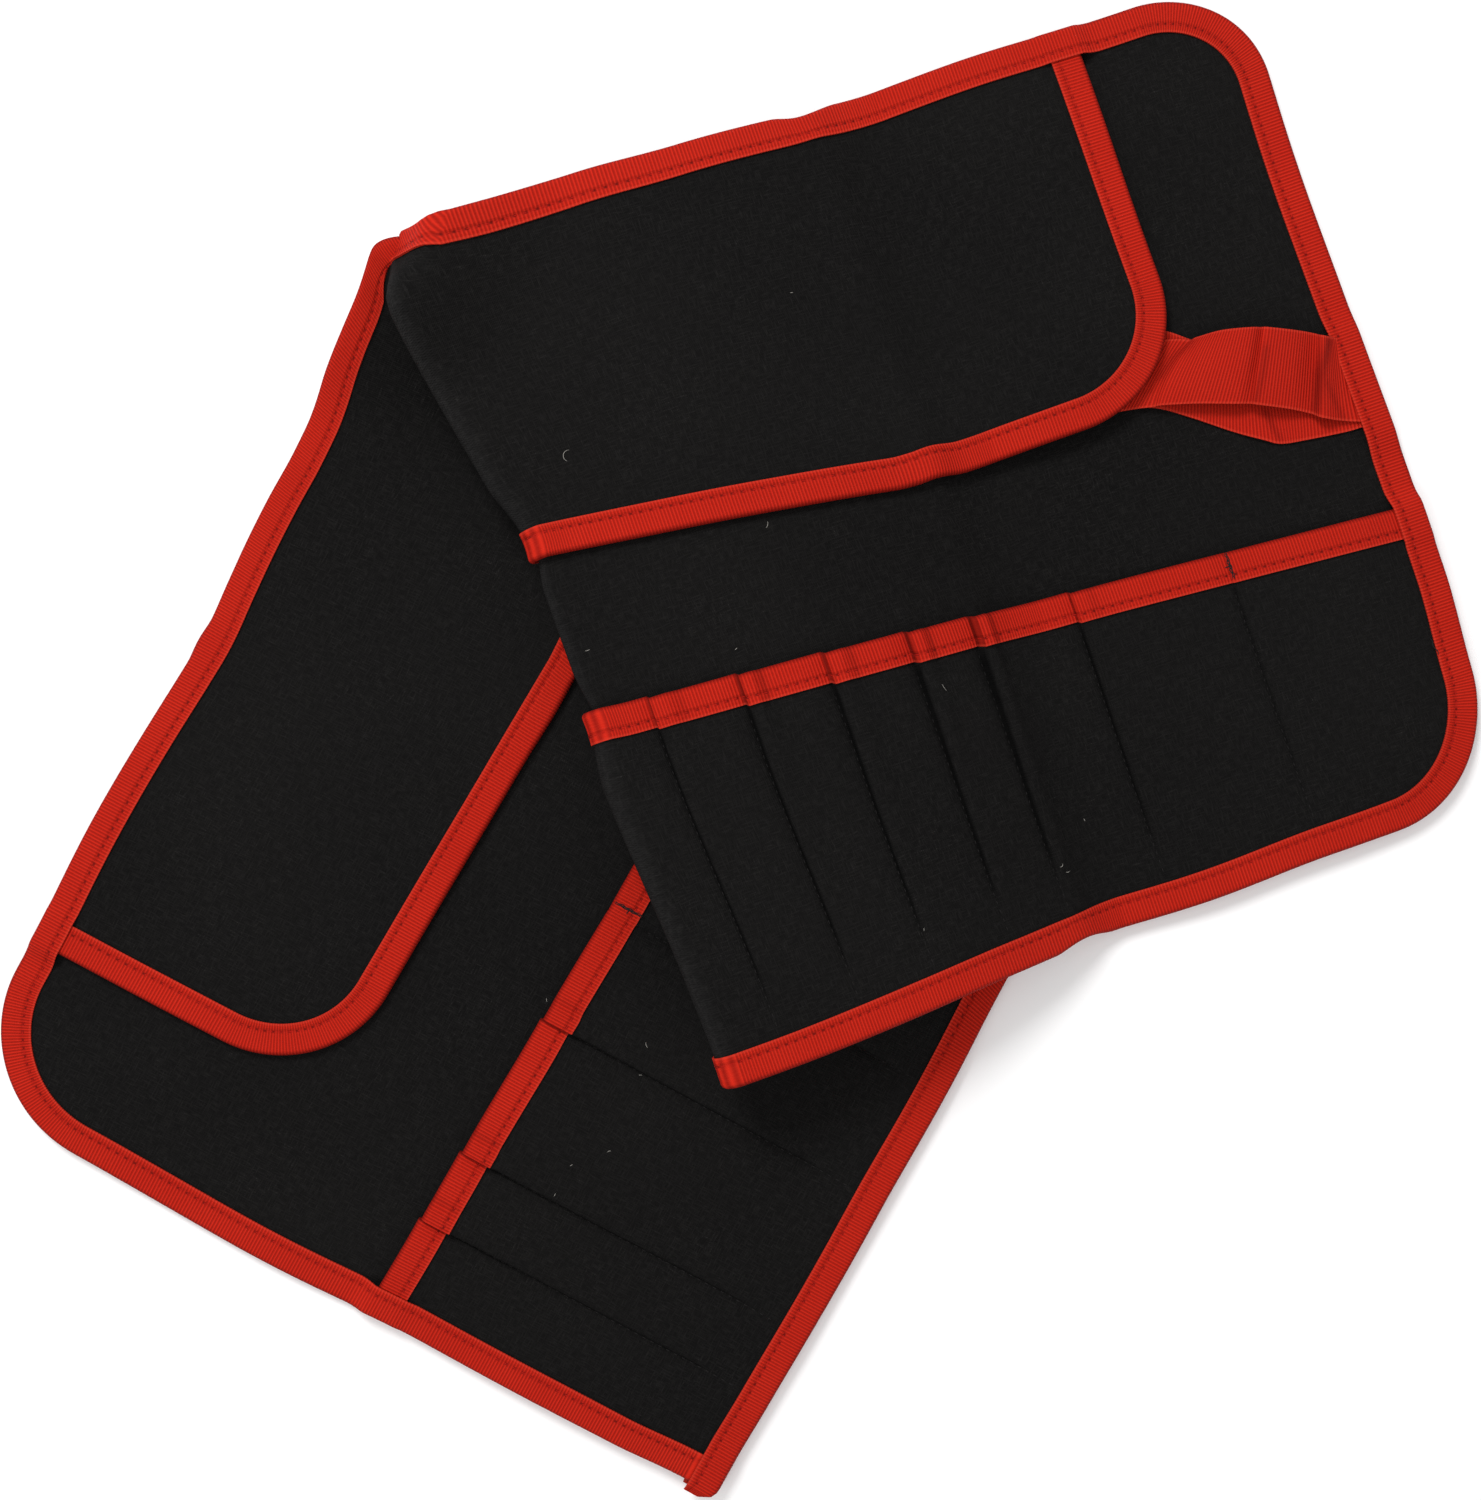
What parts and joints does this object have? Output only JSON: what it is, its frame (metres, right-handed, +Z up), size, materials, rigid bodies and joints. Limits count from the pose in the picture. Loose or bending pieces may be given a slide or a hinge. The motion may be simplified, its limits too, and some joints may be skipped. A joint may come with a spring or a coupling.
{
  "type": "tool roll",
  "caption": "Unrolled canvas tool roll with tape-bound edges, a long flap, a row of stitched pockets and a folded tie strap, lying open with one pleat",
  "frame": {"origin": "middle of the bounding box, at its bottom, on the surface that the roll lies on", "axes": "+Z up, away from the surface; +X and +Y as the picture shows them from above, +X to its right and +Y to its top"},
  "size_m": [0.499, 0.5082, 0.0415],
  "materials": {
    "black canvas": "matt black cotton canvas",
    "red tape": "bright red ribbed tape, matt"
  },
  "bodies": {
    "root": {"backing_panel": "black canvas", "pocket_panel": "black canvas", "flap": "black canvas", "edge_binding": "red tape", "flap_binding": "red tape", "pocket_binding": "red tape", "tie_strap": "red tape"}
  },
  "joints": []
}
